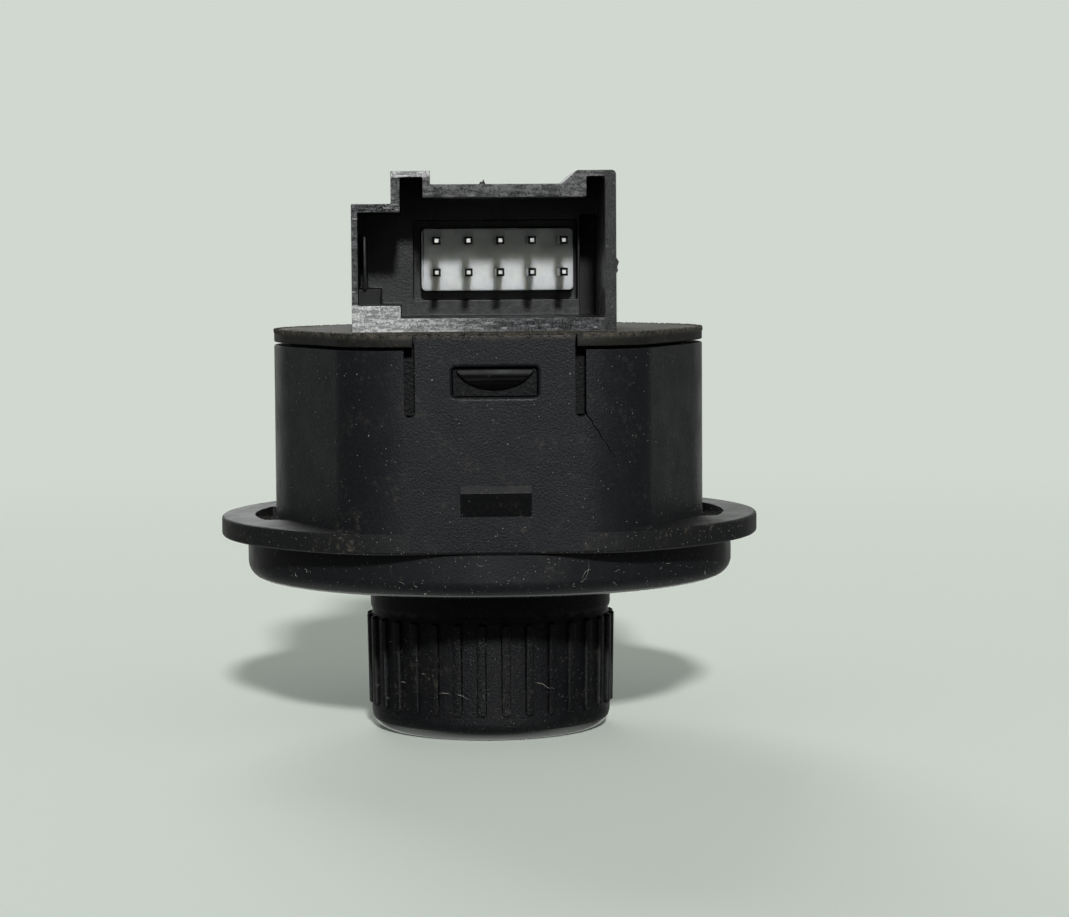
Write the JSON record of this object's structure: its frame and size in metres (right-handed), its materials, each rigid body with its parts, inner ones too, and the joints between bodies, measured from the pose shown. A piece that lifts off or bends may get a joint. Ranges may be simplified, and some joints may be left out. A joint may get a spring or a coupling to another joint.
{
  "type": "door mirror adjustment switch",
  "caption": "Round black plastic panel switch for electric door mirrors, with a ribbed tilting and turning knob, a snap-in barrel and a shrouded two-row pin connector.",
  "frame": {"origin": "on the axis of the barrel and knob, in the plane of the flange's rear face, which seats on the trim panel", "axes": "+Z runs along the axis from the knob to the connector, into the panel. -Y points to the barrel's flat front, the side that the connector opens to. +X completes the right-handed frame."},
  "size_m": [0.0444, 0.0431, 0.0458],
  "materials": {
    "barrel_plastic": "fine satin moulding, charcoal",
    "bezel_plastic": "satin",
    "cover_plastic": "dusty satin with a grainy cut edge",
    "header_plastic": "matt white",
    "pin_metal": "tin plated",
    "board_laminate": "solder mask over laminate",
    "chip_ceramic": "matt",
    "mat_silicone": "matt",
    "joystick_plastic": "natural acetal",
    "spring_steel": "drawn",
    "ball_steel": "polished",
    "rotor_plastic": "satin",
    "contact_bronze": "rolled strip",
    "knob_plastic": "satin, finely ribbed"
  },
  "bodies": {
    "housing": {"barrel_housing": "barrel_plastic", "front_bezel": "bezel_plastic", "rear_cover": "cover_plastic", "pin_header": "header_plastic", "contact_pin_1": "pin_metal", "contact_pin_2": "pin_metal", "contact_pin_3": "pin_metal", "contact_pin_4": "pin_metal", "contact_pin_5": "pin_metal", "contact_pin_6": "pin_metal", "contact_pin_7": "pin_metal", "contact_pin_8": "pin_metal", "contact_pin_9": "pin_metal", "contact_pin_10": "pin_metal", "circuit_board": "board_laminate", "chip_resistors": "chip_ceramic", "dome_mat": "mat_silicone"},
    "gimbal": {"gimbal_ring": "joystick_plastic"},
    "joystick": {"rocker": "joystick_plastic"},
    "selector": {"selector_shaft": "joystick_plastic", "retaining_clip": "spring_steel", "detent_ball": "ball_steel", "detent_spring": "spring_steel", "knob_cap": "knob_plastic"},
    "rotor": {"contact_rotor": "rotor_plastic", "wiper_contact": "contact_bronze"}
  },
  "joints": [
    {"name": "tilt_up_down", "type": "hinge", "parent": "housing", "child": "gimbal", "pos_m": [0, 0, 0.0026], "axis": [1, 0, 0], "range_deg": [-5, 5], "stiffness_Nm_per_rad": 0.2, "deforming": ["dome_mat"]},
    {"name": "tilt_left_right", "type": "hinge", "parent": "gimbal", "child": "joystick", "pos_m": [0, 0, 0.0026], "axis": [0, 1, 0], "range_deg": [-5, 5], "stiffness_Nm_per_rad": 0.2, "deforming": ["dome_mat"]},
    {"name": "select", "type": "hinge", "parent": "joystick", "child": "selector", "pos_m": [0, 0, 0], "axis": [0, 0, 1], "range_deg": [-45, 90]},
    {"name": "rotor_turn", "type": "hinge", "parent": "housing", "child": "rotor", "pos_m": [0, 0, 0.0089], "axis": [0, 0, 1], "range_deg": [-45, 90]}
  ],
  "couplings": [
    {"joint": "rotor_turn", "follows": "select", "ratio": 1}
  ]
}
